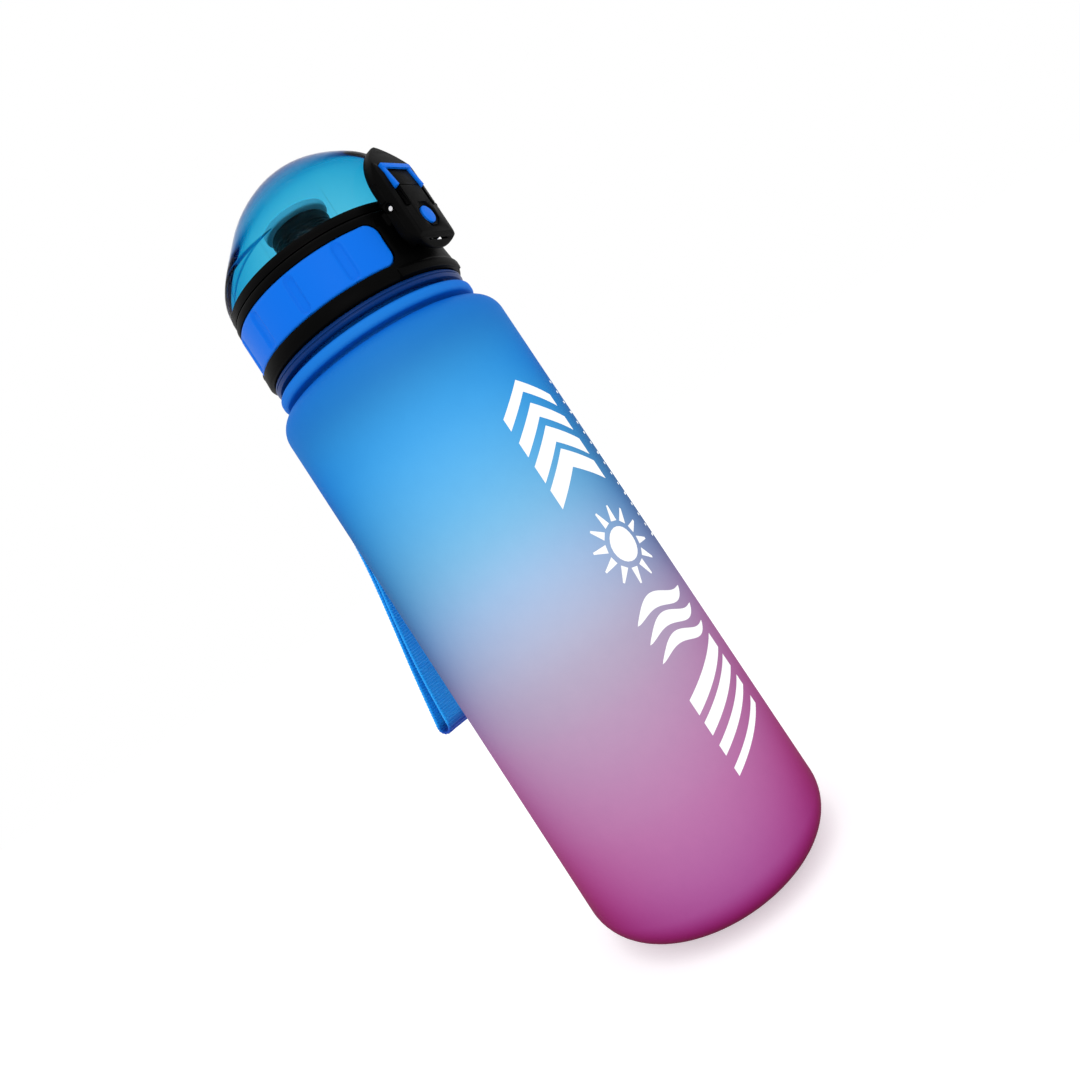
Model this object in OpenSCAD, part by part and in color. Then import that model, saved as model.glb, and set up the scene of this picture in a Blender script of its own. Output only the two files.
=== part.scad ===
// Sports drinking bottle: a straight frosted body closed by a screw cap with a clear flip lid.
// The lid is held by a rocker latch with a sliding lock, and a webbing loop hangs at the back.
// Frame: origin at the centre of the base, +Z up, the latch faces -Y, hinge and strap face +Y.

/* [Body] */
// Outer radius of the straight body
body_r = 32.5; // [32:0.1:33]
// Wall thickness of the body
body_wall = 1.7; // [1.4:0.1:2]
// Height where the shoulder starts
shoulder_z = 148.3; // [146:0.1:149]
// Height of the neck rim
neck_top = 176; // [175.5:0.1:176.2]
// Outer radius of the neck under the thread
neck_r = 23.8; // [23.6:0.1:23.9]

/* [Thread] */
// Rise of the thread for one turn
pitch = 4; // [3.8:0.1:4.2]
// Turns of the thread on the neck
neck_turns = 2.5; // [2:0.25:2.5]
// Turns of the thread in the cap
cap_turns = 2; // [1.5:0.25:2]

/* [Cap] */
// Lower edge of the black collar
collar_z0 = 162.4; // [162.2:0.1:162.8]
// Upper face of the black collar
collar_z1 = 180.5; // [180.3:0.1:180.6]
// Radius of the collar at its lower edge
collar_r0 = 29.0; // [28.9:0.05:29.1]
// Radius of the collar at its upper face
collar_r1 = 28.3; // [28.2:0.05:28.4]
// Angle of a side window's front end, from the latch
window_a0 = 21.7; // [21:0.1:23]
// Angle of a side window's rear end, from the latch
window_a1 = 149.3; // [146:0.1:150]

/* [Lid] */
// Outer radius of the lid's upright wall
lid_r = 27.9; // [27.6:0.1:28]
// Height of the lid's crown
lid_top = 208; // [207.5:0.1:208.5]
// Wall thickness of the lid
lid_wall = 2; // [1.8:0.1:2.2]
// Distance of the crown in front of the bottle's axis
crown_shift = 5.4; // [5:0.1:6]

/* [Latch] */
// Half width of the rocker's head
latch_half = 10; // [9.8:0.1:10]
// Distance of the rocker pin in front of the axis
pin_out = 31.4; // [31.3:0.05:31.5]
// Height of the rocker pin
pin_z = 177.4; // [177.2:0.1:177.6]

/* [Strap] */
// Width of the webbing
strap_w = 15; // [14:0.5:15]
// Thickness of the webbing
strap_t = 1.1; // [0.9:0.1:1.1]

/* [Hidden] */
$fn = 96;
eps = 0.01;

// Colours
blue = "#1f7fe0";
sky = "#3fa8e6";
black = "#17181a";
silicone = "#e8eef2";
steel = "#c4c8cc";

// Body and neck
corner_rx = 12.3;                 // corner of the base, across
corner_rz = 10.5;                 // corner of the base, up
shoulder_r = 6.5;                 // round of the shoulder
neck_bore = neck_r - 2.2;
floor_t = 2.2;
shoulder_top = shoulder_z + shoulder_r;
flange_z0 = 155.9;
flange_z1 = 158.9;
flange_r = 28.85;
pad_in = 6;                       // ring groove moulded in the base
pad_out = 14;
pad_deep = 0.6;

// Threads: both follow the same screw, half a pitch apart
neck_thread_z = 163;
thread_crest = neck_r + 1.4;
skirt_in = 25.7;
cap_thread_crest = 24.15;
thread_root_h = 1.1;              // half height of a ridge at its root
thread_crest_h = 0.5;
thread_steps = 36;                // steps for one turn

// Cap
skirt_out = 27.0;
lip_r = 28.2;
lip_z0 = 160.2;
lip_z1 = 162.2;
gasket_z = neck_top + 0.05;
deck_z0 = 177.3;
deck_z1 = 178.9;
gasket_top = deck_z0 - 0.05;
collar_in = skirt_out + 0.1;
window_z0 = 166.3;
window_z1 = 178.0;
window_corner = 3.4;
pad_gap = 0.15;
pad_r = 28.5;
flute_step = 27.4;
flute_r = 2.4;
flute_deep = 0.4;
window_mid = (window_a0 + window_a1) / 2;

// Spout
spout_r = 8.5;
spout_bore = 5.0;
spout_top = 196.6;
spout_lip = 2.0;
spout_flange = 12.7;
stub_r = 6.7;
stub_z0 = 175.7;
ring_in = 8.2;
ring_out = 9.4;
ring_h = 0.7;
vent_y = -17;

// Lid
lid_z0 = collar_z1 + 0.5;
crown_k = 0.02172;                // fall of the crown for each square millimetre of radius
leaf_shift = 7;                   // the leaf facet is a cone whose axis stands in front
leaf_slope = 1.19;
leaf_top = 224.3;
boss_in = 9.3;
boss_out = 10.5;
boss_z0 = 192;
boss_step = 198.4;
boss_core = 7.6;
plug_r = 9.2;
nub_r = 3.4;
nub_h = 2;
lip_half = 5;

// Hinge
hinge_y = 28.4;
hinge_z = 182.9;
knuckle_r = 2.3;
hinge_pin_r = 1.0;
lid_knuckle_in = 2.4;
lid_knuckle_out = 5.0;
collar_knuckle_in = 5.2;
collar_knuckle_out = 8.0;
hinge_run = 0.06;                 // running clearance of the lid on its pin
notch_half = 8.4;
notch_y = 25.5;
notch_z = 185.3;

// Latch
latch_pin_r = 0.55;
latch_run = 0.05;
ear_r = 1.3;
ear_in = 5.9;
ear_out = 7.3;
lobe_in = 7.5;                    // the rocker's own side lobes hold the pin outside the ears
lobe_r = 1.6;
pin_sink = 0.7;                   // the pin ends stand back in the lobes
pin_sink_r = 1.15;
lever_half = 9.7;
lever_z0 = 165.8;
lever_neck_z = pin_z + lobe_r;
lever_top_h = 12.9;
lever_belly_z = 174;              // the rocker's front bulges most at this height
lever_belly_up = 160;             // and falls back above and below it, larger is flatter
lever_belly_low = 24;
lever_front = 34.5;
lever_plan_r = 22;                // and on this one, seen from above
lever_back = 30.0;
lever_flank_back = 29.8;
pivot_back = 29.3;
pivot_half = 5.7;
lever_low_back = 31.0;            // between the flanks the thumb pad stands clear of the collar
flank_in = 7.0;
nose_half = 4.5;
badge_z = 173.6;
badge_r = 2.3;
lock_tilt = 8;
lock_out = 33.7;
lock_z = 184.6;
lock_leg_in = 4.5;
lock_leg_out = 5.8;
lock_leg_h = 5.8;
lock_top = 3.6;
lock_bar_h = 1.4;
lock_travel = 5;
lock_proud = 0.85;
lock_leg_proud = 0.5;
lock_leg_deep = 1.05;
latch_spring_z = 169.6;

// Strap
bar_y = 29.6;
bar_z = 171.0;
bar_r = 1.2;
bar_half = 7.8;
strap_ear_r = 1.9;
strap_ear_w = 1.4;
strap_wrap = bar_r + 0.15 + strap_t / 2;
fold_at = [48.45, 63.1];          // middle of the fold at the loop's lower end
strap_fold = 2.05;
// Middle of the outer layer, as [distance behind the axis, height], from the bar to the fold
strap_outer = [[31.5, 171], [31.5, 164], [32.2, 158], [34.2, 153], [35.4, 148], [37.3, 129], [39.5, 112],
    [43.0, 96], [46.9, 80], [50.5, 63.1]];
// Middle of the inner layer, from the fold to the bar
strap_inner = [[46.4, 63.1], [44.5, 80], [41.6, 96], [38.1, 112], [35.9, 129], [34.0, 148.5],
    [32.7, 153], [30.4, 158], [29.4, 164], [27.7, 171]];

// ---------- helpers ----------

// Ridge of a thread: a tapered strip wound on the screw, fading out at both ends
function thread_fade(k, n) = min(1, k / 5, (n - k) / 5);
function thread_ring(k, n, root, crest, z0, a0) =
    let (a = a0 + k * 360 / thread_steps,
        z = z0 + k * pitch / thread_steps,
        r = root + (crest - root) * (0.25 + 0.75 * thread_fade(k, n)))
    [[root * cos(a), root * sin(a), z - thread_root_h], [r * cos(a), r * sin(a), z - thread_crest_h],
        [r * cos(a), r * sin(a), z + thread_crest_h], [root * cos(a), root * sin(a), z + thread_root_h]];

// Skin of a swept section: rings of m points each, closed by a cap at both ends
function sweep_faces(rings, m, out) =
    let (side = [for (k = [0:rings - 2], j = [0:m - 1])
            let (a = k * m + j, b = k * m + (j + 1) % m, c = b + m, d = a + m)
            each [[a, b, c], [a, c, d]]],
        ends = [[for (j = [m - 1:-1:0]) j], [for (j = [0:m - 1]) (rings - 1) * m + j]])
    [for (f = concat(side, ends)) out ? [for (i = [len(f) - 1:-1:0]) f[i]] : f];

module thread_ridge(turns, root, crest, z0, a0) {
    n = round(turns * thread_steps);
    rings = [for (k = [0:n]) thread_ring(k, n, root, crest, z0, a0)];
    polyhedron(points = [for (r = rings) each r], faces = sweep_faces(n + 1, 4, crest < root));
}

// Round wire swept along a list of points
function unit(v) = v / norm(v);
function wire_dir(p, i) = unit(p[min(i + 1, len(p) - 1)] - p[max(i - 1, 0)]);
function wire_ring(p, i, r, m) =
    let (t = wire_dir(p, i),
        up = abs(t[0]) < 0.9 ? [1, 0, 0] : [0, 1, 0],
        u = unit(cross(t, up)),
        v = cross(t, u))
    [for (j = [0:m - 1]) p[i] + r * (cos(360 * j / m) * u + sin(360 * j / m) * v)];

module wire(p, r, m) {
    polyhedron(points = [for (i = [0:len(p) - 1]) each wire_ring(p, i, r, m)],
        faces = sweep_faces(len(p), m, true));
}

// Smooth curve through a list of points
function spline_at(p, i, t) =
    let (a = p[max(i - 1, 0)], b = p[i], c = p[i + 1], d = p[min(i + 2, len(p) - 1)])
    0.5 * (2 * b + (c - a) * t + (2 * a - 5 * b + 4 * c - d) * t * t + (3 * b - a - 3 * c + d) * t * t * t);
function spline(p, n) =
    concat([for (i = [0:len(p) - 2], k = [0:n - 1]) spline_at(p, i, k / n)], [p[len(p) - 1]]);

// Draws a shape given in the Y-Z plane and gives it a width along X
module across(x0, x1) {
    translate([x0, 0, 0]) rotate([90, 0, 90]) linear_extrude(x1 - x0) children();
}

// Ring between two radii, from one height to another
module ring(r0, r1, z0, z1) {
    translate([0, 0, z0]) difference() {
        cylinder(r = r1, h = z1 - z0);
        translate([0, 0, -1]) cylinder(r = r0, h = z1 - z0 + 2);
    }
}

// Part of a ring seen from the latch: angles run from the latch to the back, on the +X side
module ring_part(r0, r1, z0, z1, a0, a1) {
    rotate([0, 0, a0 - 90]) rotate_extrude(angle = a1 - a0)
        translate([r0, z0]) square([r1 - r0, z1 - z0]);
}

// A side window with round corners, drawn through the wall from r0 to r1
module window_block(r0, r1, gap) {
    turn = asin((window_corner + gap) / collar_r0);
    small = window_corner;
    ring_part(r0, r1, window_z0 + gap, window_z1 - gap, window_a0 + turn, window_a1 - turn);
    ring_part(r0, r1, window_z0 + gap + small, window_z1 - gap - small,
        window_a0 + asin(gap / collar_r0), window_a1 - asin(gap / collar_r0));
    for (a = [window_a0 + turn, window_a1 - turn], z = [window_z0 + gap + small, window_z1 - gap - small])
        rotate([0, 0, a - 90]) translate([r0, 0, z]) rotate([0, 90, 0])
            intersection() {
                cylinder(r = small + eps, h = r1 - r0);
                translate([-window_z1, -small - 1, 0]) cube([2 * window_z1, 2 * small + 2, r1 - r0]);
            }
}

// ---------- bottle ----------

function body_outline() = concat(
    [[0, 0], [body_r - corner_rx, 0]],
    [for (a = [-85:5:-5]) [body_r - corner_rx + corner_rx * cos(a), corner_rz + corner_rz * sin(a)]],
    [[body_r, corner_rz], [body_r, shoulder_z]],
    [for (a = [10:10:80]) [body_r - shoulder_r + shoulder_r * cos(a), shoulder_z + shoulder_r * sin(a)]],
    [[body_r - shoulder_r, shoulder_top], [neck_r + 0.9, shoulder_top + 0.1], [neck_r + 0.9, flange_z0],
        [flange_r - 1.2, flange_z0], [flange_r - 0.3, flange_z0 + 0.4], [flange_r, flange_z0 + 1.1],
        [flange_r, flange_z1 - 1.1], [flange_r - 0.4, flange_z1 - 0.3], [flange_r - 1.2, flange_z1],
        [neck_r, flange_z1], [neck_r, neck_top - 0.5], [neck_r - 0.5, neck_top], [0, neck_top]]);

function body_hollow() =
    let (r = body_r - body_wall, rx = corner_rx - body_wall, rz = corner_rz - floor_t,
        rs = shoulder_r - body_wall)
    concat(
        [[0, floor_t], [r - rx, floor_t]],
        [for (a = [-80:10:-10]) [r - rx + rx * cos(a), floor_t + rz + rz * sin(a)]],
        [[r, floor_t + rz], [r, shoulder_z]],
        [for (a = [15:15:60]) [r - rs + rs * cos(a), shoulder_z + rs * sin(a)]],
        [[neck_bore + 1.2, shoulder_top - 1.5], [neck_bore, shoulder_top + 1],
            [neck_bore, neck_top + 1], [0, neck_top + 1]]);

module bottle_body() color(sky, 0.8) {
    difference() {
        rotate_extrude() polygon(body_outline());
        rotate_extrude() polygon(body_hollow());
        rotate_extrude() translate([pad_in, -1]) square([pad_out - pad_in, 1 + pad_deep]);
    }
    thread_ridge(neck_turns, neck_r - 0.4, thread_crest, neck_thread_z, 0);
}

// ---------- cap ----------

module cap_base() color(blue) {
    difference() {
        union() {
            ring(skirt_in, skirt_out, lip_z0 + 0.4, deck_z1 - eps);
            rotate_extrude() polygon([[skirt_in, lip_z0], [lip_r - 0.6, lip_z0], [lip_r, lip_z0 + 0.6],
                [lip_r, lip_z1], [skirt_in, lip_z1]]);
            translate([0, 0, deck_z0]) cylinder(r = skirt_out, h = deck_z1 - deck_z0);
            for (side = [0, 1]) mirror([side, 0, 0]) cap_pad();
        }
        translate([0, 0, deck_z0 - 1]) cylinder(r = stub_r + 0.1, h = 5);
        translate([0, vent_y, deck_z0 - 1]) cylinder(r = 1.6, h = 5, $fn = 32);
        ring(ring_in - 0.1, ring_out + 0.1, deck_z1 - ring_h, deck_z1 + 1);
    }
    thread_ridge(cap_turns, skirt_in + 0.4, cap_thread_crest, neck_thread_z + pitch / 2 - pitch * 0.75, -270);
}

// Grip pad that fills a side window, with upright flutes
module cap_pad() difference() {
    window_block(skirt_out - 0.5, pad_r, pad_gap);
    for (k = [-1.5:1:1.5])
        rotate([0, 0, window_mid + k * flute_step - 90])
            translate([pad_r + flute_r - flute_deep, 0, window_z0 + 1.6]) {
                cylinder(r = flute_r, h = 20, $fn = 48);
                translate([0, 0, -0.8]) cylinder(r1 = flute_r - 0.8, r2 = flute_r, h = 0.8, $fn = 48);
            }
}

module cap_collar() color(black) {
    difference() {
        union() {
            rotate_extrude() polygon([[collar_in, collar_z0], [collar_r0 - 0.7, collar_z0],
                [collar_r0 - 0.2, collar_z0 + 0.3], [collar_r0, collar_z0 + 0.9],
                [collar_r1, collar_z1 - 0.8], [collar_r1 - 0.25, collar_z1 - 0.25],
                [collar_r1 - 0.9, collar_z1], [spout_flange + 0.1, collar_z1],
                [spout_flange + 0.1, deck_z1 + 0.05], [collar_in, deck_z1 + 0.05]]);
            rotate([0, 0, -90 - 26]) rotate_extrude(angle = 52)
                polygon([[collar_in + 0.5, collar_z0 + 0.1], [29.2, collar_z0 + 0.1],
                    [29.5, collar_z0 + 0.5], [29.5, collar_z0 + 2.2], [28.6, collar_z0 + 3.1],
                    [collar_in + 0.5, collar_z0 + 3.1]]);
            for (side = [0, 1]) mirror([side, 0, 0]) {
                latch_ear();
                strap_ear();
                hinge_knuckle();
            }
        }
        for (side = [0, 1]) mirror([side, 0, 0]) window_block(skirt_out - 1, collar_r0 + 2, 0);
        translate([0, vent_y, deck_z1 - 1]) cylinder(r = 1.75, h = 5, $fn = 32);
        translate([-bar_half, skirt_out - 3, collar_z0 - 1]) cube([2 * bar_half, 12, 175.2 - collar_z0 + 1]);
        translate([-11, -pin_out, pin_z]) rotate([0, 90, 0]) cylinder(r = latch_pin_r, h = 22, $fn = 48);
        translate([-11, hinge_y, hinge_z]) rotate([0, 90, 0]) cylinder(r = hinge_pin_r, h = 22, $fn = 48);
    }
    difference() {
        translate([-bar_half - eps, bar_y, bar_z]) rotate([0, 90, 0])
            cylinder(r = bar_r, h = 2 * bar_half + 2 * eps, $fn = 48);
        cylinder(r = collar_in, h = 200);
    }
}

// Ear that carries the rocker pin
module latch_ear() across(ear_in, ear_out) {
    translate([-pin_out, pin_z]) circle(r = ear_r, $fn = 64);
    polygon([[-pin_out, pin_z - ear_r], [-26.4, pin_z - 2.1], [-26.4, pin_z + ear_r], [-pin_out, pin_z + ear_r]]);
}

// Cheek that carries the strap bar
module strap_ear() across(bar_half, bar_half + strap_ear_w) {
    translate([bar_y, bar_z]) circle(r = strap_ear_r, $fn = 64);
    polygon([[bar_y, bar_z - strap_ear_r], [26.2, bar_z - 4], [26.2, bar_z + 3.4], [bar_y, bar_z + strap_ear_r]]);
}

module hinge_knuckle() across(collar_knuckle_in, collar_knuckle_out) {
    translate([hinge_y, hinge_z]) circle(r = knuckle_r, $fn = 64);
    polygon([[hinge_y - knuckle_r, hinge_z], [hinge_y - knuckle_r, collar_z1 - 0.6], [27.2, 178.6],
        [hinge_y + 0.4, 177.2], [hinge_y + knuckle_r, hinge_z - 1], [hinge_y + knuckle_r, hinge_z]]);
}

module cap_gasket() color(silicone)
    rotate_extrude() polygon([[neck_bore + 0.2, gasket_z], [skirt_in - 0.3, gasket_z],
        [skirt_in - 0.1, gasket_z + 0.3], [skirt_in - 0.1, gasket_top], [neck_bore + 0.2, gasket_top]]);

module spout() color(black)
    rotate_extrude() polygon(concat(
        [[spout_bore, stub_z0], [stub_r - 0.4, stub_z0], [stub_r, stub_z0 + 0.4], [stub_r, deck_z1 + 0.02],
            [spout_flange, deck_z1 + 0.02], [spout_flange, collar_z1 - 0.3], [spout_flange - 0.3, collar_z1],
            [spout_r + 1, collar_z1], [spout_r, collar_z1 + 1]],
        [for (a = [0:10:90]) [spout_r - spout_lip + spout_lip * cos(a), spout_top - spout_lip + spout_lip * sin(a)]],
        [[spout_bore, spout_top - 0.2]]));

module spout_ring() color(silicone) ring(ring_in, ring_out, deck_z1 - ring_h + 0.02, deck_z1);

module vent_valve() color(silicone) translate([0, vent_y, 0])
    rotate_extrude($fn = 48) polygon([[0, 175.8], [2.2, 175.8], [2.5, 176.3], [2.2, deck_z0 - 0.1],
        [1.45, deck_z0 - 0.1], [1.45, collar_z1 + 0.1], [3, collar_z1 + 0.1], [3, collar_z1 + 0.5],
        [2.2, collar_z1 + 1], [0, collar_z1 + 1.1]]);

module hinge_pin() color(steel)
    translate([-collar_knuckle_out - 0.1, hinge_y, hinge_z]) rotate([0, 90, 0])
        cylinder(r = hinge_pin_r, h = 2 * collar_knuckle_out + 0.2, $fn = 48);

// Torsion spring on the hinge pin: five turns and two straight legs
module lid_spring() color(steel) {
    coil_r = 1.65;
    turns = 5;
    steps = 14;
    half = 1.7;
    n = turns * steps;
    coil = [for (k = [0:n]) let (a = -90 + 360 * k / steps + 180 * k / n)
        [-half + 2 * half * k / n, hinge_y + coil_r * cos(a), hinge_z + coil_r * sin(a)]];
    leg_a = [-half, 25.9, hinge_z - coil_r];
    leg_b = [half, 25.9, hinge_z + coil_r];
    wire(concat([leg_a], coil, [leg_b]), 0.26, 6);
}

// ---------- lid ----------

// Solid of the lid: a cylinder under a crown that leans forward, with a leaf facet towards the hinge
module lid_solid(inset, z0) intersection() {
    translate([0, 0, z0]) cylinder(r = lid_r - inset, h = lid_top + 2 - z0, $fn = 128);
    translate([0, -crown_shift, 0]) rotate_extrude($fn = 128)
        polygon(concat([[0, z0 - 1]], [for (r = [36:-1.5:0]) [r, lid_top - 1.1 * inset - crown_k * r * r]]));
    translate([0, -leaf_shift, leaf_top - 1.5 * inset - 52 * leaf_slope])
        cylinder(r1 = 52, r2 = 0, h = 52 * leaf_slope, $fn = 128);
}

module dome_lid() color("#49b7e8", 0.5) difference() {
    union() {
        difference() {
            lid_solid(0, lid_z0);
            difference() {
                lid_solid(lid_wall, lid_z0 - 1);
                translate([-notch_half - 1.6, notch_y - 2, lid_z0 - 2])
                    cube([2 * notch_half + 3.2, 10, notch_z + 1.5 - lid_z0 + 2]);
            }
            translate([-notch_half, notch_y, lid_z0 - 2])
                cube([2 * notch_half, 10, notch_z - lid_z0 + 2]);
        }
        intersection() {
            ring(boss_in, boss_out, boss_z0, lid_top);
            lid_solid(lid_wall / 2, 150);
        }
        intersection() {
            ring(boss_core, boss_out, boss_step, lid_top);
            lid_solid(lid_wall / 2, 150);
        }
        for (side = [0, 1]) mirror([side, 0, 0]) lid_knuckle();
        translate([-lip_half, -28.9, 185.9]) cube([2 * lip_half, 2, 1.9]);
    }
    translate([-11, hinge_y, hinge_z]) rotate([0, 90, 0])
        cylinder(r = hinge_pin_r + hinge_run, h = 22, $fn = 48);
}

module lid_knuckle() across(lid_knuckle_in, lid_knuckle_out) {
    translate([hinge_y, hinge_z]) circle(r = knuckle_r, $fn = 64);
    polygon([[hinge_y, hinge_z + knuckle_r], [hinge_y - knuckle_r, hinge_z], [notch_y - 0.5, hinge_z - 0.4],
        [notch_y - 0.5, notch_z], [26.1, 185.2]]);
}

module seal_plug() color(silicone) rotate_extrude() polygon([[0, spout_top + 0.1 - nub_h],
    [nub_r - 0.4, spout_top + 0.1 - nub_h], [nub_r, spout_top + 0.5 - nub_h], [nub_r, spout_top + 0.1],
    [plug_r - 0.3, spout_top + 0.1], [plug_r, spout_top + 0.4], [plug_r, boss_step], [0, boss_step]]);

// ---------- latch ----------

// Front view of the rocker: a leaf-shaped head over a narrower thumb pad
function head_outline() = concat(
    [[-latch_half, lever_neck_z]],
    [for (t = [0:6:90]) [-latch_half * pow(cos(t), 1.5), 182 + lever_top_h * sin(t)]],
    [for (t = [84:-6:0]) [latch_half * pow(cos(t), 1.5), 182 + lever_top_h * sin(t)]],
    [[latch_half, lever_neck_z]]);
function pad_outline() = concat(
    [[lever_half, lever_neck_z + 1], [lever_half, lever_z0 + 6]],
    [for (t = [10:10:170]) [lever_half * cos(t), lever_z0 + 6 - 6 * sin(t)]],
    [[-lever_half, lever_z0 + 6], [-lever_half, lever_neck_z + 1]]);

// Gives a front view its depth between two distances in front of the axis
module front_slab(back, front) {
    translate([0, -back, 0]) rotate([90, 0, 0]) linear_extrude(front - back) children();
}

// Frame of the lock: its Z runs up the sloping face of the rocker's head
module lock_frame() translate([0, -lock_out, lock_z]) rotate([-lock_tilt, 0, 0]) children();

// Side lobe of the rocker, round the pin
module lever_lobe() across(lobe_in, lever_half) {
    translate([-pin_out, pin_z]) circle(r = lobe_r, $fn = 64);
    translate([-36, pin_z - 4]) square([36 - lever_flank_back, 6]);
}

module latch_lever() color(black) difference() {
    intersection() {
        union() {
            front_slab(lever_back, 36) polygon(head_outline());
            difference() {
                front_slab(lever_flank_back, 36) polygon(pad_outline());
                translate([-flank_in, -lever_low_back, lever_z0 - 1])
                    cube([2 * flank_in, 4, lever_neck_z - lever_z0 + 3]);
            }
            front_slab(pivot_back, 33) translate([-pivot_half, pin_z - 2.2]) square([2 * pivot_half, 6]);
            front_slab(29.2, lever_back + 1) translate([-nose_half, 188.2]) square([2 * nose_half, 2.3]);
            for (side = [0, 1]) mirror([side, 0, 0]) lever_lobe();
        }
        across(-15, 15) polygon(concat([[-20, 200], [-20, 160]], [for (z = [162:1:200])
            let (d = z - lever_belly_z) [d * d / (d > 0 ? lever_belly_up : lever_belly_low) - lever_front, z]]));
        translate([0, lever_plan_r - lever_front, 150]) cylinder(r = lever_plan_r, h = 60, $fn = 128);
    }
    // pin bore
    translate([-11, -pin_out, pin_z]) rotate([0, 90, 0]) cylinder(r = latch_pin_r + latch_run, h = 22, $fn = 48);
    // hollow behind the thumb pad
    translate([-4, -32.8, 167.5]) cube([8, 3, 6.7]);
    // the pin ends stand back
    for (side = [-1, 1]) translate([side * (lever_half - pin_sink / 2 + 0.5), -pin_out, pin_z]) rotate([0, 90, 0])
        cylinder(r = pin_sink_r, h = pin_sink + 1, center = true, $fn = 48);
    // room for the pin ears
    for (side = [-1, 1]) translate([side > 0 ? ear_in - 0.15 : -lobe_in - eps, 0, 0]) {
        translate([0, -pin_out, pin_z]) rotate([0, 90, 0])
            cylinder(r = ear_r + 0.2, h = lobe_in - ear_in + 0.15 + eps, $fn = 48);
        translate([0, -pin_out, pin_z - ear_r - 1]) cube([lobe_in - ear_in + 0.15 + eps, 8, 2 * ear_r + 1.8]);
    }
    // grooves of the lock and the seat of its badge
    lock_frame() for (side = [-1, 1])
        translate([side > 0 ? lock_leg_in - 0.1 : -lock_leg_out - 0.1, -3, -lock_leg_h / 2 - lock_travel - 0.2])
            cube([lock_leg_out - lock_leg_in + 0.2, 3 + lock_leg_deep + 0.15,
                lock_leg_h / 2 + lock_travel + lock_top + 0.4]);
    translate([0, -lever_front + 0.7, badge_z]) rotate([90, 0, 0]) rotate(22.5) cylinder(r = badge_r + 1.1, h = 3, $fn = 8);
    translate([0, -lever_front + 1.5, badge_z]) rotate([90, 0, 0]) cylinder(r = badge_r, h = 3, $fn = 64);
}

module press_badge() color(blue)
    translate([0, -lever_front + 1.5, badge_z]) rotate([90, 0, 0]) cylinder(r = badge_r, h = 1.2, $fn = 64);

module latch_pin() color(steel)
    translate([pin_sink - lever_half, -pin_out, pin_z]) rotate([0, 90, 0])
        cylinder(r = latch_pin_r, h = 2 * (lever_half - pin_sink), $fn = 48);

module latch_spring() color(steel) {
    turns = 4;
    steps = 14;
    y0 = -collar_r0 - 0.25;
    y1 = -32.5;
    n = turns * steps;
    wire([for (k = [0:n]) let (a = 360 * k / steps)
        [1.7 * cos(a), y0 + (y1 - y0) * k / n, latch_spring_z + 1.7 * sin(a)]], 0.22, 6);
}

// Sliding lock: a U whose legs run in the rocker's grooves and whose bar lies on its face
module lock_slider() color(blue) lock_frame() {
    translate([-lock_leg_out, -lock_proud, lock_top - lock_bar_h])
        cube([2 * lock_leg_out, lock_proud - 0.15, lock_bar_h]);
    for (side = [-1, 1])
        translate([side > 0 ? lock_leg_in : -lock_leg_out, -lock_leg_proud, -lock_leg_h / 2])
            cube([lock_leg_out - lock_leg_in, lock_leg_proud + lock_leg_deep, lock_leg_h / 2 + lock_top]);
}

// ---------- strap ----------

// Middle line of the closed loop: down the outer layer, round the fold, up the inner one, round the bar
function strap_line() =
    concat(
        spline(strap_outer, 4),
        [for (a = [-22.5:-22.5:-157.5]) fold_at + strap_fold * [cos(a), sin(a)]],
        spline(strap_inner, 4),
        [for (a = [157.5:-22.5:22.5]) [bar_y, bar_z] + strap_wrap * [cos(a), sin(a)]]);

function loop_dir(p, i) =
    let (n = len(p), t = unit(p[(i + 1) % n] - p[(i + n - 1) % n])) [t[1], -t[0]];
function loop_shifted(p, d) = [for (i = [0:len(p) - 1]) p[i] + d * loop_dir(p, i)];

module strap() color(blue) across(-strap_w / 2, strap_w / 2) difference() {
    polygon(loop_shifted(strap_line(), -strap_t / 2));
    polygon(loop_shifted(strap_line(), strap_t / 2));
}

bottle_body();
cap_base();
cap_collar();
cap_gasket();
spout();
spout_ring();
vent_valve();
hinge_pin();
lid_spring();
dome_lid();
seal_plug();
latch_lever();
latch_pin();
latch_spring();
press_badge();
lock_slider();
strap();
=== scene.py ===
import math

import bmesh
import bpy
from mathutils import Matrix, Vector


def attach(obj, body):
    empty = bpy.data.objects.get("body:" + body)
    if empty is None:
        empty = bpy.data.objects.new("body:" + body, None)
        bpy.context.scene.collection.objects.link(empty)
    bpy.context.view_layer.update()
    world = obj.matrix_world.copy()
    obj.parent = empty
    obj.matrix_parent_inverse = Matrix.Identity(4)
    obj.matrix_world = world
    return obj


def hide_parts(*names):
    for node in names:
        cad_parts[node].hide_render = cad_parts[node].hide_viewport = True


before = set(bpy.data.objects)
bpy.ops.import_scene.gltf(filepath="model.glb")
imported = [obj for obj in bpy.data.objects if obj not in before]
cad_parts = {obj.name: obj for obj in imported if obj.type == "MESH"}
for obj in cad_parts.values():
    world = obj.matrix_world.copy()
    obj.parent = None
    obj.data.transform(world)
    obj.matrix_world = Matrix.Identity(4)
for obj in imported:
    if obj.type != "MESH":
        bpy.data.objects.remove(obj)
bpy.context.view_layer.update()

MM = 0.001

# ---------- sizes that several pieces share, in millimetres ----------

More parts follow.
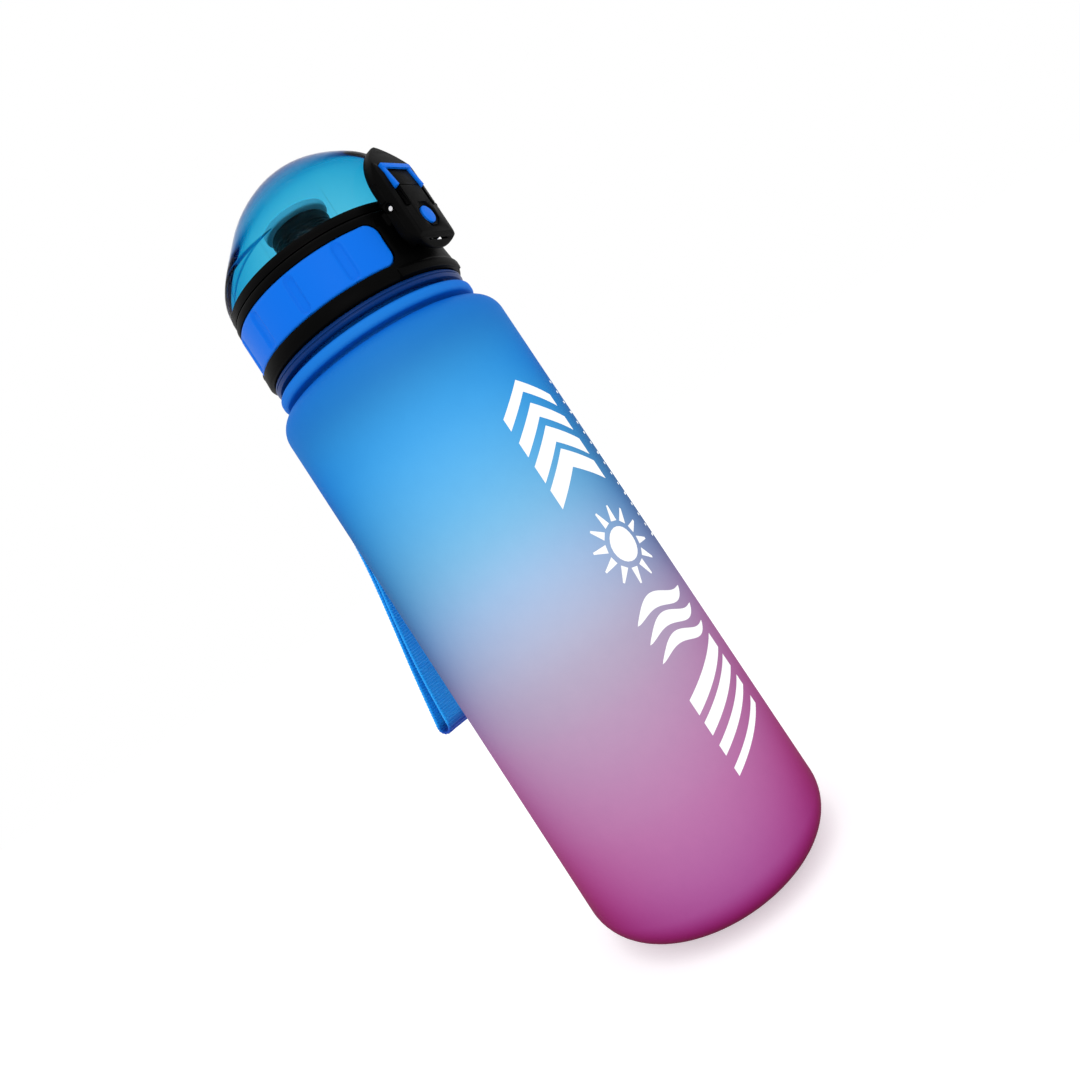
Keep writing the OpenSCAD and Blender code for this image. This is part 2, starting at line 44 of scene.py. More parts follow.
BODY_R = 32.5
BODY_WALL = 1.7
FLOOR_T = 2.2
CORNER_X = 12.3                # corner of the base, across and up
CORNER_Z = 10.5
SHOULDER_Z = 148.3
SHOULDER_R = 6.5
NECK_R = 23.8
NECK_BORE = 21.6
NECK_TOP = 176.0
FLANGE_R = 28.85
FLANGE_Z = (155.9, 158.9)
PITCH = 4.0
LID_R = 27.9
LID_Z = 181.0
LID_TOP = 208.0
LID_WALL = 2.0
HINGE = (28.4, 182.9)
SPOUT_R = 8.5
SPOUT_TOP = 196.6
STRAP_W = 15.0
STRAP_T = 1.1

# ---------- mesh helpers ----------


def arc(centre, radii, start, end, count):
    """Points on an ellipse's arc, both ends included, angles in degrees."""
    turns = [math.radians(start + (end - start) * k / count) for k in range(count + 1)]
    return [(centre[0] + radii[0] * math.cos(t), centre[1] + radii[1] * math.sin(t)) for t in turns]


def rounded(corners, count=4):
    """Closed outline through corners (x, y, radius), each rounded by its own radius."""
    outline = []
    for i, (x, y, radius) in enumerate(corners):
        here = Vector((x, y))
        if radius <= 0:
            outline.append((x, y))
            continue
        back = Vector(corners[i - 1][:2]) - here
        ahead = Vector(corners[(i + 1) % len(corners)][:2]) - here
        half = back.angle(ahead) / 2
        reach = min(radius / math.tan(half), 0.48 * back.length, 0.48 * ahead.length)
        radius = reach * math.tan(half)
        back.normalize()
        ahead.normalize()
        centre = here + (back + ahead).normalized() * radius / math.sin(half)
        first = (here + back * reach - centre).normalized()
        last = (here + ahead * reach - centre).normalized()
        for k in range(count + 1):
            spot = centre + first.slerp(last, k / count) * radius
            outline.append((spot.x, spot.y))
    return outline


def finish_mesh(mesh, smooth_angle):
    """Welds, points the faces outwards and smooths all but the edges sharper than smooth_angle."""
    bm = bmesh.new()
    bm.from_mesh(mesh)
    bmesh.ops.remove_doubles(bm, verts=bm.verts, dist=1e-7)
    bmesh.ops.recalc_face_normals(bm, faces=bm.faces)
    for face in bm.faces:
        face.smooth = True
    for edge in bm.edges:
        if len(edge.link_faces) == 2:
            edge.smooth = edge.calc_face_angle(0) < math.radians(smooth_angle)
    bm.to_mesh(mesh)
    bm.free()
    mesh.update()


def add_piece(name, points, faces, smooth_angle=50):
    """New object from points in millimetres."""
    mesh = bpy.data.meshes.new(name)
    mesh.from_pydata([(x * MM, y * MM, z * MM) for x, y, z in points], [], faces)
    finish_mesh(mesh, smooth_angle)
    piece = bpy.data.objects.new(name, mesh)
    bpy.context.scene.collection.objects.link(piece)
    return piece


def lathe(name, outline, steps=192, smooth_angle=50):
    """Closed outline of (radius, height) turned about the bottle's axis."""
    points, faces = [], []
    count = len(outline)
    for k in range(steps):
        turn = 2 * math.pi * k / steps
        points += [(r * math.cos(turn), r * math.sin(turn), z) for r, z in outline]
    for k in range(steps):
        for i in range(count):
            j = (i + 1) % count
            after = (k + 1) % steps
            if outline[i][0] > 1e-9 or outline[j][0] > 1e-9:
                faces.append((k * count + i, after * count + i, after * count + j, k * count + j))
    return add_piece(name, points, faces, smooth_angle)


def swept(name, rings, loop=False, smooth_angle=50):
    """Skin through rings of as many points each, closed by a face at both ends or joined in a loop."""
    count = len(rings[0])
    points = [p for ring in rings for p in ring]
    faces = []
    for k in range(len(rings) if loop else len(rings) - 1):
        after = (k + 1) % len(rings)
        for i in range(count):
            j = (i + 1) % count
            faces.append((k * count + i, k * count + j, after * count + j, after * count + i))
    if not loop:
        faces.append(tuple(range(count)))
        faces.append(tuple(reversed(range(len(points) - count, len(points)))))
    return add_piece(name, points, faces, smooth_angle)


def applied(piece):
    """Bakes the piece's modifiers into its mesh."""
    bpy.context.view_layer.update()
    mesh = bpy.data.meshes.new_from_object(piece.evaluated_get(bpy.context.evaluated_depsgraph_get()))
    piece.modifiers.clear()
    piece.data = mesh
    return piece


def boolean(piece, other, operation):
    """Joins or cuts piece with other, and removes other."""
    modifier = piece.modifiers.new("boolean", "BOOLEAN")
    modifier.operation = operation
    modifier.solver = "MANIFOLD"
    modifier.object = other
    applied(piece)
    bpy.data.objects.remove(other)
    return piece


def rounded_copy(name, node, width, segments=2, angle=28):
    """Copy of a CAD node whose sharp edges are rounded by width millimetres."""
    mesh = bpy.data.meshes.new(name)
    bm = bmesh.new()
    bm.from_mesh(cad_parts[node].data)
    bmesh.ops.remove_doubles(bm, verts=bm.verts, dist=2e-6)
    bmesh.ops.dissolve_degenerate(bm, edges=bm.edges, dist=1e-6)
    bmesh.ops.dissolve_limit(bm, angle_limit=math.radians(0.4), verts=bm.verts, edges=bm.edges)
    bm.to_mesh(mesh)
    bm.free()
    piece = bpy.data.objects.new(name, mesh)
    bpy.context.scene.collection.objects.link(piece)
    bevel = piece.modifiers.new("bevel", "BEVEL")
    bevel.width = width * MM
    bevel.segments = segments
    bevel.limit_method = "ANGLE"
    bevel.angle_limit = math.radians(angle)
    bevel.use_clamp_overlap = False
    bevel.miter_outer = "MITER_ARC"
    applied(piece)
    finish_mesh(piece.data, 38)
    return piece


def flat_patch(outlines, step):
    """Flat mesh of closed outlines (along, height), cut into cells about step wide so that it can bend."""
    bm = bmesh.new()
    for outline in outlines:
        bm.faces.new([bm.verts.new((a, b, 0)) for a, b in outline])
    bmesh.ops.triangulate(bm, faces=bm.faces)
    for axis in ((1, 0, 0), (0, 1, 0)):
        side = 0 if axis[0] else 1
        low = min(v.co[side] for v in bm.verts)
        high = max(v.co[side] for v in bm.verts)
        for k in range(1, int((high - low) / step[side])):
            spot = [0, 0, 0]
            spot[side] = low + k * step[side]
            bmesh.ops.bisect_plane(bm, geom=bm.verts[:] + bm.edges[:] + bm.faces[:], dist=1e-6,
                                   plane_co=spot, plane_no=axis)
    bmesh.ops.dissolve_degenerate(bm, edges=bm.edges, dist=1e-5)
    return bm


def wrapped(name, bm, outer, inner, smooth_angle=50):
    """Bends a flat patch round the bottle and gives it thickness. Along is measured from the latch,
    towards +X, on the radius inner; outer(along, height) is the radius of its outer face."""
    front = list(bm.faces)
    made = bmesh.ops.extrude_face_region(bm, geom=front)["geom"]
    raised = {v for v in made if isinstance(v, bmesh.types.BMVert)}
    for v in bm.verts:
        along, height = v.co.x, v.co.y
        radius = outer(along, height) if v in raised else inner
        turn = along / inner
        v.co = Vector((radius * math.sin(turn), -radius * math.cos(turn), height)) * MM
    mesh = bpy.data.meshes.new(name)
    bm.to_mesh(mesh)
    bm.free()
    finish_mesh(mesh, smooth_angle)
    piece = bpy.data.objects.new(name, mesh)
    bpy.context.scene.collection.objects.link(piece)
    return piece


def place(piece, body, node, material):
    """Puts a finished piece on its body, in the place of its CAD node."""
    piece.data.materials.clear()
    piece.data.materials.append(material)
    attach(piece, body)
    if node:
        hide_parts(node)
    return piece


# ---------- materials ----------


def new_material(name):
    """Empty material: its node tree and its Principled shader."""
    material = bpy.data.materials.new(name)
    material.use_nodes = True
    tree = material.node_tree
    shader = tree.nodes["Principled BSDF"]
    return material, tree, shader


def noise(tree, scale, detail=2.0, roughness=0.5):
    """Noise in the object's own coordinates, scale in features for each metre."""
    place_node = tree.nodes.new("ShaderNodeTexCoord")
    texture = tree.nodes.new("ShaderNodeTexNoise")
    texture.inputs["Scale"].default_value = scale
    texture.inputs["Detail"].default_value = detail
    texture.inputs["Roughness"].default_value = roughness
    tree.links.new(place_node.outputs["Object"], texture.inputs["Vector"])
    return texture.outputs["Fac"]


def object_height(tree):
    """Height in the object's own coordinates."""
    place_node = tree.nodes.new("ShaderNodeTexCoord")
    split = tree.nodes.new("ShaderNodeSeparateXYZ")
    tree.links.new(place_node.outputs["Object"], split.inputs["Vector"])
    return split.outputs["Z"]


def spread(tree, value, low, high):
    """Maps a 0 to 1 value to low to high."""
    node = tree.nodes.new("ShaderNodeMapRange")
    node.inputs["To Min"].default_value = low
    node.inputs["To Max"].default_value = high
    tree.links.new(value, node.inputs["Value"])
    return node.outputs["Result"]


def bump(tree, shader, height, strength, distance):
    """Feeds a height to the shader's normal."""
    node = tree.nodes.new("ShaderNodeBump")
    node.inputs["Strength"].default_value = strength
    node.inputs["Distance"].default_value = distance
    tree.links.new(height, node.inputs["Height"])
    tree.links.new(node.outputs["Normal"], shader.inputs["Normal"])


def linear(colour):
    """Display colour, 0 to 255, as scene-linear RGBA."""
    def one(c):
        c /= 255
        return c / 12.92 if c <= 0.04045 else ((c + 0.055) / 1.055) ** 2.4
    return (*[one(c) for c in colour], 1)


# Frosted body at heights above its base, in millimetres: colour of the shell, then the tint of its outer
# skin, which deepens towards the outline.
# Both columns hold the body's own colour change together with painted light and shade along its height,
# such as the painted shade at the shoulder.
BODY_COLOURS_WITH_PAINTED_LIGHT = [
    (0, (158, 112, 156), (206, 92, 168)), (10, (190, 190, 212), (220, 122, 182)),
    (22, (196, 176, 202), (226, 156, 200)), (34, (202, 170, 196), (226, 178, 212)),
    (56, (190, 184, 196), (235, 206, 229)), (68, (196, 194, 202), (220, 209, 229)),
    (78, (226, 228, 236), (190, 196, 216)), (90, (240, 242, 255), (164, 192, 216)),
    (101, (200, 238, 255), (157, 192, 215)), (112, (164, 224, 255), (154, 196, 219)),
    (124, (140, 208, 252), (142, 200, 224)), (135, (94, 176, 224), (144, 210, 240)),
    (146, (36, 110, 170), (190, 240, 255)), (160, (30, 128, 212), (190, 235, 255)),
]


def height_ramp(tree, height, colours):
    """Colour ramp over the body's height."""
    ramp = tree.nodes.new("ShaderNodeValToRGB")
    ramp.color_ramp.interpolation = "B_SPLINE"
    stops = ramp.color_ramp.elements
    while len(stops) < len(colours):
        stops.new(0.5)
    # the stops sort themselves by position, so the colours come after all the positions
    for stop, (z, colour) in zip(stops, colours):
        stop.position = z / colours[-1][0]
    for stop, (z, colour) in zip(stops, colours):
        stop.color = linear(colour)
    tree.links.new(height, ramp.inputs["Fac"])
    return ramp.outputs["Color"]


def frosted_material():
    """Frosted translucent shell, its colour set by height; the height ramps hold painted light and shade as
    well as the shell's own colours.
    """
    material, tree, shader = new_material("frosted_shell")
    height = tree.nodes.new("ShaderNodeMapRange")
    height.inputs["From Max"].default_value = BODY_COLOURS_WITH_PAINTED_LIGHT[-1][0] * MM
    tree.links.new(object_height(tree), height.inputs["Value"])
    # the shell and skin ramps carry painted light and shade along the body's height
    shell = height_ramp(tree, height.outputs["Result"], [(z, a) for z, a, b in BODY_COLOURS_WITH_PAINTED_LIGHT])
    skin = height_ramp(tree, height.outputs["Result"], [(z, b) for z, a, b in BODY_COLOURS_WITH_PAINTED_LIGHT])
    mottle = tree.nodes.new("ShaderNodeMix")
    mottle.data_type = "RGBA"
    mottle.blend_type = "MULTIPLY"
    mottle.inputs["B"].default_value = (0.88, 0.9, 0.93, 1)
    tree.links.new(spread(tree, noise(tree, 260, 5, 0.65), 0.0, 0.6), mottle.inputs["Factor"])
    tree.links.new(shell, mottle.inputs["A"])
    tree.links.new(mottle.outputs["Result"], shader.inputs["Base Color"])
    tree.links.new(skin, shader.inputs["Coat Tint"])
    shader.inputs["Coat Weight"].default_value = 1
    shader.inputs["Coat IOR"].default_value = 1.05
    shader.inputs["Coat Roughness"].default_value = 0.5
    tree.links.new(spread(tree, noise(tree, 900, 3), 0.46, 0.58), shader.inputs["Roughness"])
    bump(tree, shader, noise(tree, 5200, 2), 0.12, 0.0002)
    shader.inputs["Specular IOR Level"].default_value = 0.15
    return material


def plastic(name, colour, low, high, specular=0.5, grain=3500, depth=0.1):
    """Moulded plastic with a fine spark-eroded grain."""
    material, tree, shader = new_material(name)
    shader.inputs["Base Color"].default_value = linear(colour)
    shader.inputs["Specular IOR Level"].default_value = specular
    tree.links.new(spread(tree, noise(tree, 700, 3), low, high), shader.inputs["Roughness"])
    bump(tree, shader, noise(tree, grain, 2), depth, 0.0002)
    return material


def steel_material():
    material, tree, shader = new_material("pin_steel")
    shader.inputs["Base Color"].default_value = (0.72, 0.72, 0.74, 1)
    shader.inputs["Metallic"].default_value = 1
    tree.links.new(spread(tree, noise(tree, 2500, 3), 0.2, 0.34), shader.inputs["Roughness"])
    return material


def clear_material(name, ior, gloss, density):
    """Clear plastic: nearly colourless faces round a blue body that darkens with its depth. A density of
    zero leaves the body colourless. The index of refraction is far below that of real plastic."""
    material, tree, shader = new_material(name)
    shader.inputs["Base Color"].default_value = linear((250, 253, 255))
    shader.inputs["Transmission Weight"].default_value = 1
    shader.inputs["IOR"].default_value = ior
    shader.inputs["Coat Weight"].default_value = gloss
    shader.inputs["Coat Roughness"].default_value = 0.04
    tree.links.new(spread(tree, noise(tree, 300, 3), 0.02, 0.06), shader.inputs["Roughness"])
    if density:
        depth = tree.nodes.new("ShaderNodeVolumeAbsorption")
        depth.inputs["Color"].default_value = (0.0, 0.74, 0.87, 1)
        depth.inputs["Density"].default_value = density
        tree.links.new(depth.outputs["Volume"], tree.nodes["Material Output"].inputs["Volume"])
    return material


FOLD_SHADE = (61.5, 64.5)      # heights over which the painted shade at the loop's lower fold fades out upwards


def webbing_material():
    """Woven nylon with mottled yarns, with painted shade round the lower fold of the loop."""
    material, tree, shader = new_material("webbing")
    shader.inputs["Roughness"].default_value = 0.55
    shader.inputs["Specular IOR Level"].default_value = 0.2
    shader.inputs["Sheen Weight"].default_value = 0.08
    shader.inputs["Sheen Roughness"].default_value = 0.4
    mix = tree.nodes.new("ShaderNodeMix")
    mix.data_type = "RGBA"
    mix.inputs["A"].default_value = linear((4, 112, 222))
    mix.inputs["B"].default_value = linear((34, 190, 255))
    tree.links.new(noise(tree, 2600, 4, 0.7), mix.inputs["Factor"])
    fold = tree.nodes.new("ShaderNodeMapRange")
    fold.inputs["From Min"].default_value = FOLD_SHADE[0] * MM
    fold.inputs["From Max"].default_value = FOLD_SHADE[1] * MM
    tree.links.new(object_height(tree), fold.inputs["Value"])
    # painted shade: a darker blue at the loop's lower fold, faded out by height
    painted_fold_shade = tree.nodes.new("ShaderNodeMix")
    painted_fold_shade.data_type = "RGBA"
    painted_fold_shade.inputs["A"].default_value = linear((2, 66, 168))
    tree.links.new(fold.outputs["Result"], painted_fold_shade.inputs["Factor"])
    tree.links.new(mix.outputs["Result"], painted_fold_shade.inputs["B"])
    tree.links.new(painted_fold_shade.outputs["Result"], shader.inputs["Base Color"])
    bump(tree, shader, noise(tree, 4200, 3), 0.35, 0.0003)
    return material


# ---------- camera, light, floor ----------


def add_camera():
    """The camera stands at the bottle's mid height and leans, so that the bottle lies across the frame."""
    distance, height = 0.2085, 0.1073
    azimuth, tilt, lean = math.radians(-54), math.radians(2.24), math.radians(33.36)
    inward = Vector((-math.sin(azimuth), math.cos(azimuth), 0))
    right = Vector((math.cos(azimuth), math.sin(azimuth), 0))
    ahead = inward * math.cos(tilt) + Vector((0, 0, math.sin(tilt)))
    up = right.cross(ahead)
    across = right * math.cos(lean) - up * math.sin(lean)
    above = right * math.sin(lean) + up * math.cos(lean)
    turn = Matrix((across, above, -ahead)).transposed().to_4x4()
    data = bpy.data.cameras.new("camera")
    data.lens = 26.93
    data.shift_x = 0.0666
    data.shift_y = -0.0502
    data.clip_start = 0.005
    camera = bpy.data.objects.new("camera", data)
    camera.matrix_world = Matrix.Translation(-inward * distance + Vector((0, 0, height))) @ turn
    bpy.context.scene.collection.objects.link(camera)
    bpy.context.scene.camera = camera
    return camera


def add_light(name, spot, target, size, power):
    data = bpy.data.lights.new(name, "AREA")
    data.size = size
    data.energy = power
    lamp = bpy.data.objects.new(name, data)
    lamp.location = spot
    lamp.rotation_euler = (Vector(target) - Vector(spot)).to_track_quat("-Z", "Y").to_euler()
    bpy.context.scene.collection.objects.link(lamp)
    return lamp


def add_studio():
    """White world and pale floor, a front light and a top light."""
    world = bpy.data.worlds.new("studio")
    bpy.context.scene.world = world
    world.use_nodes = True
    background = world.node_tree.nodes["Background"]
    background.inputs["Color"].default_value = (1, 1, 1, 1)
    background.inputs["Strength"].default_value = 1.0

    mesh = bpy.data.meshes.new("floor")
    half = 6.0
    corners = [(-half, -half, 0), (half, -half, 0), (half, half, 0), (-half, half, 0)]
    mesh.from_pydata(corners, [], [(0, 1, 2, 3)])
    floor = bpy.data.objects.new("floor", mesh)
    bpy.context.scene.collection.objects.link(floor)
    material, tree, shader = new_material("floor")
    shader.inputs["Base Color"].default_value = (0.72, 0.72, 0.72, 1)
    shader.inputs["Emission Color"].default_value = (1, 1, 1, 1)
    shader.inputs["Emission Strength"].default_value = 0.45
    shader.inputs["Specular IOR Level"].default_value = 0.0
    tree.links.new(spread(tree, noise(tree, 6, 2), 0.85, 0.95), shader.inputs["Roughness"])
    mesh.materials.append(material)

    centre = (0, 0, 0.11)
    add_light("front", (-0.66, -0.5, 0.36), centre, 0.3, 0.9)
    add_light("top", (-0.2, -0.1, 0.9), centre, 0.4, 0.8)
    bpy.context.scene.view_settings.view_transform = "Standard"


# ---------- bottle ----------


def body_outline():
    """Section of the whole wall: outside from the base to the rim, then inside back down."""
    inner = BODY_R - BODY_WALL
    corner = (CORNER_X - BODY_WALL, CORNER_Z - FLOOR_T)
    shoulder_top = SHOULDER_Z + SHOULDER_R
    low, high = FLANGE_Z
    neck = NECK_R + 0.9
    base = [(0, 0), (5.7, 0), (6.0, 0.15), (6.3, 0.6), (13.7, 0.6), (14.0, 0.15), (14.3, 0)]
    outside = base + arc((BODY_R - CORNER_X, CORNER_Z), (CORNER_X, CORNER_Z), -90, 0, 18)
    outside += [(BODY_R, z) for z in (30, 50, 70, 90, 110, 130)]
    outside += arc((BODY_R - SHOULDER_R, SHOULDER_Z), (SHOULDER_R, SHOULDER_R), 0, 90, 12)
    outside += [(neck + 0.5, shoulder_top), (neck, shoulder_top + 0.2)]
    outside += [(neck, low - 0.3), (neck + 0.3, low)]
    outside += arc((FLANGE_R - 1.1, low + 1.1), (1.1, 1.1), -90, 0, 6)
    outside += arc((FLANGE_R - 1.1, high - 1.1), (1.1, 1.1), 0, 90, 6)
    outside += [(NECK_R + 0.3, high), (NECK_R, high + 0.3)]
    outside += arc((NECK_R - 0.6, NECK_TOP - 0.6), (0.6, 0.6), 0, 90, 4)
    inside = arc((NECK_BORE + 0.4, NECK_TOP - 0.4), (0.4, 0.4), 90, 180, 3)
    inside += [(NECK_BORE, shoulder_top + 1), (NECK_BORE + 0.5, shoulder_top - 0.9)]
    inside += [(NECK_BORE + 1.4, shoulder_top - 1.6)]
    inside += arc((BODY_R - SHOULDER_R, SHOULDER_Z), (SHOULDER_R - BODY_WALL,) * 2, 70, 0, 8)
    inside += [(inner, z) for z in (130, 110, 90, 70, 50, 30)]
    inside += arc((inner - corner[0], FLOOR_T + corner[1]), corner, 0, -90, 12)
    inside += [(0, FLOOR_T)]
    return outside + inside


def thread_ridge(name, root, crest, foot, turns, first_turn):
    """Rounded ridge wound on the screw; it fades out at both ends."""
    steps = 72
    count = round(turns * steps)
    section = [(-0.3, -1.1), (0.0, -1.0), (0.7, -0.6), (0.95, -0.35), (1.0, 0.0),
               (0.95, 0.35), (0.7, 0.6), (0.0, 1.0), (-0.3, 1.1)]
    rings = []
    for k in range(count + 1):
        turn = math.radians(first_turn) + 2 * math.pi * k / steps
        grow = min(1, (k + 1) / 12, (count - k + 1) / 12)
        lift = foot + PITCH * k / steps
        ring = []
        for out, up in section:
            r = root + (crest - root) * (out * grow if out > 0 else out)
            ring.append((r * math.cos(turn), r * math.sin(turn), lift + up))
        rings.append(ring)
    return swept(name, rings)


def stripe(left, right, low, thick, lean):
    """Slanted stripe across the print."""
    return [(left, low), (right, low + lean), (right, low + lean + thick), (left, low + thick)]


def chevron(left, right, low, thick, rise):
    """Upward arrow across the print."""
    middle = (left + right) / 2
    return [(left, low), (middle, low + rise), (right, low),
            (right, low + thick), (middle, low + rise + thick), (left, low + thick)]


def wave(left, right, low, thick, swing):
    """Ribbon that swells in its middle and runs out to a point at both ends."""
    count = 28
    lower, upper = [], []
    for k in range(count + 1):
        share = k / count
        along = left + (right - left) * share
        line = low + swing * math.sin(2 * math.pi * share - 0.5)
        half = thick * math.sin(math.pi * share) ** 0.7 / 2
        lower.append((along, line - half))
        upper.append((along, line + half))
    return lower + upper[-2:0:-1]


def sun(centre, rays):
    """Disc with tapered rays round it."""
    shapes = [arc(centre, (4.3, 4.3), 0, 345, 23)]
    for k in range(rays):
        turn = 2 * math.pi * (k + 0.5) / rays
        out, side = (math.cos(turn), math.sin(turn)), (-math.sin(turn), math.cos(turn))
        ray = []
        for far, half in ((5.7, -1.0), (9.6, -0.25), (9.6, 0.25), (5.7, 1.0)):
            ray.append((centre[0] + out[0] * far + side[0] * half,
                        centre[1] + out[1] * far + side[1] * half))
        shapes.append(ray)
    return shapes


def print_shapes():
    """White print: a generic pattern in a column, and a row of filling marks beside it."""
    left, right = -15.4, 3.6
    middle = (left + right) / 2
    shapes = [chevron(left, right, 98.4 + 6.9 * k, 5.0 - 0.6 * k, 6.6) for k in range(4)]
    shapes += sun((middle, 84.0), 12)
    shapes += [wave(left - 0.6, right + 0.6, 68.6 - 4.9 * k, 3.8 - 0.4 * k, 1.5) for k in range(3)]
    shapes += [stripe(left, right, 44.4 - 5.2 * k, 3.9 - 0.6 * k, 6.4) for k in range(4)]
    along = 10.2
    for k, z in enumerate(range(80, 126, 3)):
        reach = 2.4 if k % 4 == 0 else 1.3
        shapes.append([(along, z), (along + reach, z), (along + reach, z + 0.7), (along, z + 0.7)])
    return shapes


def build_print(ink):
    patch = flat_patch(print_shapes(), (1.2, 30.0))
    layer = wrapped("print", patch, lambda along, height: BODY_R + 0.05, BODY_R - 0.05)
    place(layer, "bottle", None, ink)


def build_bottle(material):
    body = lathe("body_shell", body_outline(), 256)
    place(body, "bottle", "bottle_body", material)
    ridge = thread_ridge("neck_thread", NECK_R, NECK_R + 1.4, 163, 2.5, 0)
    place(ridge, "bottle", None, material)


# ---------- lid ----------

CROWN_SHIFT = 5.4              # the crown falls away with the square of the distance from its top
CROWN_FALL = 0.02172
LEAF_SHIFT = 7.0               # the leaf is a cone that cuts the crown behind the spout
LEAF_SLOPE = 1.19
LEAF_TOP = 224.3
RIM_Z = (180.54, 182.7)
RIM_PROUD = 0.07
CREASE_TIP = 115.0             # degrees round from the hinge
CREASE_Z = 188.3
BOSS_R = (7.6, 9.3, 10.5)      # step, bore and outside of the boss
BOSS_Z = (192.0, 198.4)        # its mouth, and the step that the seal rests on

def blend(a, b, soft):
    """The larger of two distances, with a rounded crossing."""
    return max(a, b) + soft * math.log1p(math.exp(-abs(a - b) / soft))


def lid_surface(turn, rise, inset):
    """Distance from the lid's centre to its surface, along a ray turned about Z and raised."""
    dx = math.cos(turn) * math.cos(rise)
    dy = math.sin(turn) * math.cos(rise)
    dz = math.sin(rise)
    foot = LID_Z

    def beyond(t):
        """Below zero inside the lid."""
        x, y, z = dx * t, dy * t, foot + dz * t
        wall = math.hypot(x, y) - (LID_R - inset)
        crown = z - (LID_TOP - 1.1 * inset - CROWN_FALL * (x * x + (y + CROWN_SHIFT) ** 2))
        leaf = z - (LEAF_TOP - 1.5 * inset - LEAF_SLOPE * math.hypot(x, y + LEAF_SHIFT))
        return blend(blend(wall, crown * 0.75, 0.7), leaf * 0.643, 0.25)

    low, high = 0.0, 60.0
    for _ in range(34):
        middle = (low + high) / 2
        if beyond(middle) > 0:
            high = middle
        else:
            low = middle
    return low


def lid_reach(turn, height):
    """Distance of the lid's outer face from the axis, at one height."""
    rise = 0.0
    for _ in range(20):
        rise = math.atan2(height - LID_Z, lid_surface(turn, rise, 0) * math.cos(rise))
    return lid_surface(turn, rise, 0) * math.cos(rise)


def lid_shell(steps=224, rows=104):
    """Clear wall of the lid, closed along its lower rim."""
    points, faces = [], []
    for inset in (0.0, LID_WALL):
        for i in range(rows):
            rise = math.radians(90 * i / rows)
            for k in range(steps):
                turn = 2 * math.pi * k / steps
                t = lid_surface(turn, rise, inset)
                flat = t * math.cos(rise)
                points.append((flat * math.cos(turn), flat * math.sin(turn), LID_Z + t * math.sin(rise)))
        points.append((0, 0, LID_Z + lid_surface(0, math.pi / 2, inset)))
    layer = rows * steps + 1
    for side in (0, 1):
        start = side * layer
        for i in range(rows - 1):
            for k in range(steps):
                j = (k + 1) % steps
                faces.append((start + i * steps + k, start + i * steps + j,
                              start + (i + 1) * steps + j, start + (i + 1) * steps + k))
        for k in range(steps):
            faces.append((start + (rows - 1) * steps + k, start + (rows - 1) * steps + (k + 1) % steps,
                          start + layer - 1))
    for k in range(steps):
        j = (k + 1) % steps
        faces.append((k, j, layer + j, layer + k))
    return add_piece("lid_dome", points, faces, 60)


def roof(x, y, inset):
    """Height of the lid's crown and leaf above a point."""
    crown = LID_TOP - 1.1 * inset - CROWN_FALL * (x * x + (y + CROWN_SHIFT) ** 2)
    return min(crown, LEAF_TOP - 1.5 * inset - LEAF_SLOPE * math.hypot(x, y + LEAF_SHIFT))


def boss_tube(steps=128):
    """Tube under the crown that holds the seal over the spout."""
    step_r, bore, outside = BOSS_R
    mouth, step_z = BOSS_Z
    section = [(step_r, None), (step_r, step_z), (bore, step_z), (bore, mouth + 0.25), (bore + 0.25, mouth),
               (outside - 0.25, mouth), (outside, mouth + 0.25), (outside, None)]
    rings = []
    for k in range(steps):
        turn = 2 * math.pi * k / steps
        x, y = math.cos(turn), math.sin(turn)
        rings.append([(r * x, r * y, z if z else roof(r * x, r * y, LID_WALL) - 0.4) for r, z in section])
    return swept("lid_boss", rings, loop=True)


def prism(name, outline, x0, x1):
    """Solid between x0 and x1 with an outline in (y, z)."""
    count = len(outline)
    points = [(x, y, z) for x in (x0, x1) for y, z in outline]
    faces = [(k, (k + 1) % count, count + (k + 1) % count, count + k) for k in range(count)]
    faces += [tuple(reversed(range(count))), tuple(range(count, 2 * count))]
    return add_piece(name, points, faces)


def hinge_eye(name, x0, x1):
    """Eye of the lid round the hinge pin, with its foot on the wall of the notch."""
    y, z = HINGE
    outline = arc((y, z), (2.3, 2.3), -135, 90, 20)
    outline += [(26.1, 185.2), (25.6, 185.2), (25.6, z - 0.4)]
    eye = prism(name, outline, x0, x1)
    bore = prism(name + "_bore", arc((y, z), (1.06, 1.06), 0, 350, 35), x0 - 1, x1 + 1)
    return boolean(eye, bore, "DIFFERENCE")


def crease_rib(name, side, upper):
    """Dark rib inside the lid's wall. It draws the shaded line along one edge of the leaf-shaped relief;
    the upper and the lower line meet at the tip."""
    tail, thick = (52.0, 0.5) if upper else (64.0, 0.28)
    buried = 0.75
    rings = []
    count = 60
    for k in range(count + 1):
        share = k / count
        away = CREASE_TIP - (CREASE_TIP - tail) * share
        turn = math.radians(90 + side * away)
        drop = 0.0 if upper else 4.7 * ((CREASE_TIP - away) / 45) ** 1.7
        height = CREASE_Z - drop
        reach = lid_reach(turn, height)
        size = thick * math.sin(math.pi * min(share * 0.9 + 0.04, 0.96)) ** 0.6
        ring = []
        for i in range(10):
            around = 2 * math.pi * i / 10
            r = reach - buried + size * math.cos(around)
            ring.append((r * math.cos(turn), r * math.sin(turn), height + size * math.sin(around)))
        rings.append(ring)
    return swept(name, rings)


